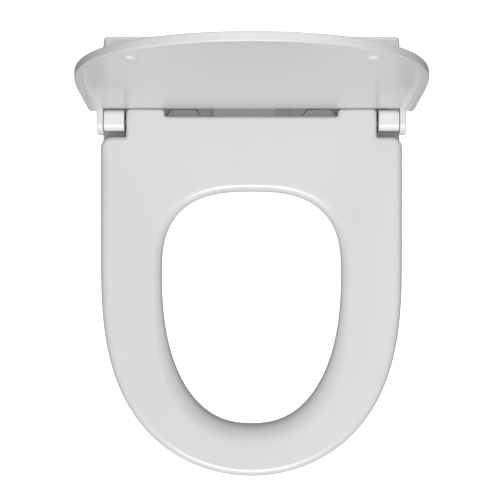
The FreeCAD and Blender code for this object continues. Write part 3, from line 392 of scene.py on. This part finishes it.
def even_angles(outline, passes=900):
    """Each outline point's direction from the opening's centre, evened out along the loop."""
    angles = []
    for point in outline:
        away = point - SEAT_CENTRE
        angle = math.atan2(away.y, away.x)
        if angles:
            angle += 2 * math.pi * round((angles[-1] - angle) / (2 * math.pi))
        angles.append(angle)
    turn = math.copysign(2 * math.pi, angles[-1] - angles[0])
    for _ in range(passes):
        ring = [angles[-1] - turn] + angles + [angles[0] + turn]
        angles = [(a + 2 * b + c) / 4 for a, b, c in zip(ring, ring[1:], ring[2:])]
    return angles


def make_seat_top():
    """The seat's top shell, as loops from its outer foot over the top to the opening's foot."""
    outline = seat_plan()
    normals = inward_normals(outline)
    shoulder = []
    for point, normal in zip(outline, normals):
        spot = point + normal * seat_edge_round(point)
        shoulder.append(Vector((spot.x, min(spot.y, SEAT_REAR_Y + SEAT_CORNER))))
    angles = even_angles(shoulder)
    loops = []

    def outer_loop(inset, drop):
        """A loop inside the outline; inset and drop are shares of the local edge round."""
        loop = []
        for point, normal in zip(outline, normals):
            width = seat_edge_round(point)
            spot = point + normal * width * inset
            loop.append((spot.x, spot.y, SEAT_TOP - width * drop))
        return loop

    def wall_loop(inset, z, rear_z):
        """A loop a fixed way inside the outline, stepped up under the hinge legs."""
        loop = []
        for point, normal in zip(outline, normals):
            spot = point + normal * inset
            lift = smooth_step(point.y, SEAT_REAR_Y, SEAT_REAR_Y + 5.0) * (rear_z - z)
            loop.append((spot.x, spot.y, z + lift))
        return loop

    for inset, rise, rear_rise in ((3.2, 1.5, 1.5), (3.0, 0.4, 0.4), (2.4, 0, 0), (1.3, 0, 0),
                                   (0.4, 0.7, 1.2), (0.0, 2.2, 3.2), (-0.2, 10, 7)):
        loops.append(wall_loop(inset, SEAT_BOTTOM + rise, LEG_FOOT_Z + rear_rise))
    steps = 8
    for step in range(steps + 1):
        turn = math.radians(90 * step / steps)
        loops.append(outer_loop(1 - math.cos(turn), 1 - math.sin(turn)))
    bands = 10
    roll_starts = [opening_point(angle, seat_roll_width(angle)) for angle in angles]
    for band in range(bands):
        spots = [edge.lerp(inner, band / bands) for edge, inner in zip(shoulder, roll_starts)]
        loops.append([(spot.x, spot.y, SEAT_TOP) for spot in spots])
    roll_steps = 12
    for step in range(roll_steps + 1):
        turn = math.radians(90 * step / roll_steps)
        row = []
        for angle in angles:
            grow = seat_roll_width(angle) * (1 - math.sin(turn))
            spot = opening_point(angle, grow)
            row.append((spot.x, spot.y,
                        SEAT_TOP - seat_roll_depth(angle) * (1 - math.cos(turn))))
        loops.append(row)
    for grow, z in ((0.6, 22), (1.4, 16), (2.2, SEAT_BOTTOM + 1.5), (2.8, SEAT_BOTTOM + 0.3),
                    (3.4, SEAT_BOTTOM), (4.6, SEAT_BOTTOM), (5.2, SEAT_BOTTOM + 0.5),
                    (5.4, SEAT_BOTTOM + 1.5)):
        row = []
        for angle in angles:
            spot = opening_point(angle, grow)
            in_bay = (smooth_step(spot.y, BAY_FRONT_Y, BAY_FRONT_Y + 18.0)
                      * (1 - smooth_step(abs(spot.x), BAY_HALF, BAY_HALF + 4.0)))
            row.append((spot.x, spot.y, z + max(BAY_ROOF_Z - z, 0) * in_bay))
        loops.append(row)
    seat = lofted("seat_top", loops, joined=True)
    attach(seat, "seat")
    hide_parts("seat_top_shell")
    return seat


# ---------------------------------------------------------------- lid

def open_lid(piece):
    """Turns a piece drawn with the lid closed to the open lid."""
    centre = Vector((0, AXIS_Y, AXIS_Z)) * MM
    turn = Matrix.Rotation(math.radians(-LID_OPEN_ANGLE), 4, "X")
    piece.data.transform(Matrix.Translation(centre) @ turn @ Matrix.Translation(-centre))
    return piece


def lid_plan():
    """The lid's outline from the middle of its rear edge, anticlockwise seen from above."""
    right = [(0.0, LID_REAR_Y)]
    right += rounded_corner((0, LID_REAR_Y), (LID_HALF, LID_REAR_Y),
                            (LID_HALF, LID_SIDE_END_Y), LID_CORNER, 16)
    return whole_plan(right, LID_HALF, LID_SIDE_END_Y, LID_FRONT_Y)


def make_lid():
    """The lid, as loops from the middle of its panel round the rim to the middle of its top."""
    outline = lid_plan()
    normals = inward_normals(outline)
    middle = Vector((0.0, LID_MIDDLE_Y))

    def skirted(point):
        """One where the lid has its rolled rim, and nothing along the rear edge."""
        return smooth_step(-point.y, -LID_REAR_Y + 3.0, -LID_REAR_Y + 16.0)

    def ring(inset, z):
        """A loop inside the outline; levels under the panel follow the rim's depth."""
        loop = []
        for point, normal in zip(outline, normals):
            spot = point + normal * inset
            level = z
            if z < LID_PANEL_Z:
                level = LID_PANEL_Z + (z - LID_PANEL_Z) * skirted(point)
            loop.append((spot.x, spot.y, level))
        return loop

    def towards_middle(loop, share, z):
        spots = [Vector(point[:2]).lerp(middle, share) for point in loop]
        return [(spot.x, spot.y, z) for spot in spots]

    base = ring(LID_FILLET_INSET, LID_PANEL_Z)
    loops = [towards_middle(base, share, LID_PANEL_Z)
             for share in (0.97, 0.8, 0.6, 0.4, 0.2, 0.08)]
    loops.append(base)
    for inset, z in ((18.0, LID_PANEL_Z - 0.05), (15.5, LID_PANEL_Z - 0.25),
                     (13.0, LID_PANEL_Z - 0.7), (11.0, LID_PANEL_Z - 1.4), (9.4, LID_PANEL_Z - 2.5),
                     (8.3, LID_PANEL_Z - 4.0), (7.6, 37.6), (7.1, 36.9), (6.5, 36.55),
                     (5.9, LID_SKIRT_Z), (2.4, LID_SKIRT_Z), (1.6, 36.56), (0.8, 36.85),
                     (0.25, 37.4), (0.03, 38.1), (0.0, 39.0), (0.0, 44.6), (0.04, 45.3),
                     (0.3, 46.0), (0.9, 46.6), (1.8, 46.9), (3.0, LID_TOP)):
        loops.append(ring(inset, z))
    top = loops[-1]
    for share in (0.05, 0.2, 0.4, 0.6, 0.8, 0.97):
        rise = LID_CROWN * math.sin(math.pi / 2 * share)
        loops.append(towards_middle(top, share, LID_TOP + rise))
    lid = lofted("lid_cover", loops, first_centre=(middle.x, middle.y, LID_PANEL_Z),
                 last_centre=(middle.x, middle.y, LID_TOP + LID_CROWN))
    open_lid(lid)
    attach(lid, "lid")
    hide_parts("lid_shell")
    return lid


def make_lid_ears(finish):
    """The lid's two side ears, which hold its hinge pins."""
    profile = arc((AXIS_Y, AXIS_Z), EAR_RADIUS, 20, -180, 28)
    profile += [(AXIS_Y - EAR_RADIUS - 2.5, AXIS_Z + 8), (AXIS_Y - 19, LID_TOP - 2),
                (AXIS_Y - 10, LID_TOP - 0.5), (AXIS_Y + 4, AXIS_Z + 16)]
    for side, name in ((1, "right"), (-1, "left")):
        low, high = sorted((side * EAR_INNER_X, side * EAR_OUTER_X))
        ear = bevelled(prism("lid_ear_" + name, profile, low, high), 1.6, 4, 40)
        open_lid(ear)
        ear.data.materials.append(finish)
        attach(ear, "lid")


def make_lid_bumpers(finish):
    """Two round pads on the lid's panel; the first stands for the one CAD node of both."""
    for side, name in ((1, "right"), (-1, "left")):
        profile = [(5.6, 40.4), (6.8, 40.55), (7.6, 41.1), (8.0, 42.0), (8.1, 42.9), (8.6, 43.3)]
        pad = lathed("lid_bumper_" + name, profile, (side * BUMPER_X, BUMPER_Y))
        open_lid(pad)
        pad.data.materials.append(finish)
        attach(pad, "lid")
        if side == 1:
            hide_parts("lid_bumpers")


# ---------------------------------------------------------------- hinge blocks

def make_hinge_blocks(finish):
    """The two hinge blocks, rounded above and moved out a little from the CAD's."""
    for side, node in ((1, "hinge_block_right"), (-1, "hinge_block_left")):
        low, high = (corner * 1000 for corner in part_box(node))
        low.y += BLOCK_FRONT_TRIM
        front, rear = BLOCK_FRONT_ROUND, BLOCK_REAR_ROUND
        profile = [(low.y, low.z), (high.y, low.z)]
        profile += arc((high.y - rear, high.z - rear), rear, 0, 90, 10)
        profile += arc((low.y + front, high.z - front), front, 90, 180, 10)
        inner, outer = (low.x, high.x) if side == 1 else (high.x, low.x)
        inner += side * BLOCK_INNER_SHIFT
        outer += side * BLOCK_OUTER_SHIFT
        block = bevelled(prism(node + "_shell", profile, min(inner, outer), max(inner, outer)),
                         0.9, 3, 50)
        block.data.materials.append(finish)
        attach(block, "base")
        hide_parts(node)


# ---------------------------------------------------------------- bolt covers

def make_bolt_covers(finish, gap_shade_finish):
    """Two grey covers over the fixing bolts, each on a near-black sheet whose rim shows round it as painted shade
    in the gap.
    """
    low, high = (corner * 1000 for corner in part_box("bolt_covers"))
    high.y -= BOLT_COVER_REAR_TRIM
    foot = low.z + 0.05
    corners = [(-BOLT_COVER_FRONT_HALF, low.y), (BOLT_COVER_FRONT_HALF, low.y),
               (BOLT_COVER_REAR_HALF, high.y), (-BOLT_COVER_REAR_HALF, high.y)]
    centre = Vector((0.0, (low.y + high.y) / 2))
    for side, name in ((1, "right"), (-1, "left")):
        # The gap sheet is near-black: painted shade standing in for the shadow down in the gap round each cover.
        for part, grow, top, slot in (("gap", 0.0, low.z + 0.3, "damper_plastic"),
                                      ("cap", -BOLT_COVER_GAP, high.z, "grey_plastic")):
            plan = []
            for index, corner in enumerate(corners):
                before, after = corners[index - 1], corners[(index + 1) % 4]
                plan += rounded_corner(before, corner, after, 2.0 if index < 2 else 5.0, 8)
            plan = [Vector(spot) + (Vector(spot) - centre).normalized() * grow for spot in plan]
            middle = side * BOLT_COVER_X
            loops = [[(middle + spot.x, spot.y, z) for spot in plan] for z in (foot, top)]
            plate = lofted("bolt_cover_%s_%s" % (part, name), loops,
                           first_centre=(middle, centre.y, foot),
                           last_centre=(middle, centre.y, top))
            if part == "cap":
                bevelled(plate, 0.5, 3, 50)
                plate.data.materials.append(finish)
            else:
                plate.data.materials.append(gap_shade_finish)
            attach(plate, "base")
            if part == "cap" and side == 1:
                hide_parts("bolt_covers")


# ---------------------------------------------------------------- stage

def aimed(thing, place, target):
    """Puts a light at place and points it at target."""
    thing.location = Vector(place) * MM
    thing.rotation_euler = (Vector(target) * MM - thing.location).to_track_quat(
        "-Z", "Y").to_euler()
    return thing


def softbox(name, place, target, width, height, power, mirrored=True):
    """A soft rectangular lamp; one that isn't mirrored doesn't show in the gloss."""
    light = bpy.data.lights.new(name, "AREA")
    light.shape = "RECTANGLE"
    light.size, light.size_y = width * MM, height * MM
    light.energy = power
    lamp = bpy.data.objects.new(name, light)
    lamp.visible_glossy = mirrored
    lamp.visible_camera = False
    bpy.context.scene.collection.objects.link(lamp)
    return aimed(lamp, place, target)


def make_stage():
    """Floor, world and lamps. The floor glows white but lights nothing itself."""
    corners = [(x * FLOOR_REACH, y * FLOOR_REACH, FLOOR_Z)
               for x, y in ((-1, -1), (1, -1), (1, 1), (-1, 1))]
    floor = mesh_object("studio_floor", corners, [(0, 1, 2, 3)])
    paint = surface("floor_paint", (0.5, 0.5, 0.5), 0.8, tint=0.004, bump=0.02, specular=0.1)
    glow = paint.node_tree.nodes["Principled BSDF"]
    glow.inputs["Emission Color"].default_value = (1, 1, 1, 1)
    glow.inputs["Emission Strength"].default_value = FLOOR_GLOW
    floor.data.materials.append(paint)
    floor.visible_diffuse = floor.visible_glossy = False
    world = bpy.data.worlds.new("studio")
    world.use_nodes = True
    sky = world.node_tree.nodes["Background"]
    sky.inputs["Color"].default_value = (1, 1, 1, 1)
    sky.inputs["Strength"].default_value = WORLD_STRENGTH
    bpy.context.scene.world = world
    softbox("key_softbox", (-200, -3300, 3700), (0, -250, 0), 3000, 2200, 198)
    softbox("top_softbox", (100, 0, 4700), (0, -100, 0), 2400, 1600, 55, mirrored=False)
    softbox("rear_softbox", (150, 1150, 680), (0, 60, 60), 1200, 500, 10, mirrored=False)


def make_camera():
    """The camera, which looks straight down."""
    data = bpy.data.cameras.new("camera")
    data.lens = CAMERA_LENS
    data.sensor_width = CAMERA_SENSOR
    camera = bpy.data.objects.new("camera", data)
    bpy.context.scene.collection.objects.link(camera)
    camera.location = Vector((CAMERA_X, CAMERA_Y, CAMERA_HEIGHT)) * MM
    bpy.context.scene.camera = camera


# ---------------------------------------------------------------- the whole scene

def dress_cad_nodes(finishes):
    """Gives every carried-over CAD node the finish of its material slot."""
    slots = {row["node"]: row["material_slot"] for row in frame["record"]["subparts"]}
    for node, thing in frame["nodes"].items():
        thing.data.materials.clear()
        thing.data.materials.append(finishes[slots[node]])


def main():
    bpy.context.scene.view_settings.view_transform = "Standard"
    make_camera()
    make_stage()
    finishes = {slot: surface(slot, **settings) for slot, settings in FINISHES.items()}
    dress_cad_nodes(finishes)
    make_seat_top().data.materials.append(finishes["seat_plastic"])
    make_lid().data.materials.append(finishes["lid_plastic"])
    make_lid_ears(finishes["lid_plastic"])
    make_lid_bumpers(finishes["bumper_rubber"])
    make_hinge_blocks(finishes["cover_plastic"])
    make_bolt_covers(finishes["grey_plastic"], finishes["damper_plastic"])


main()
bpy.context.view_layer.update()
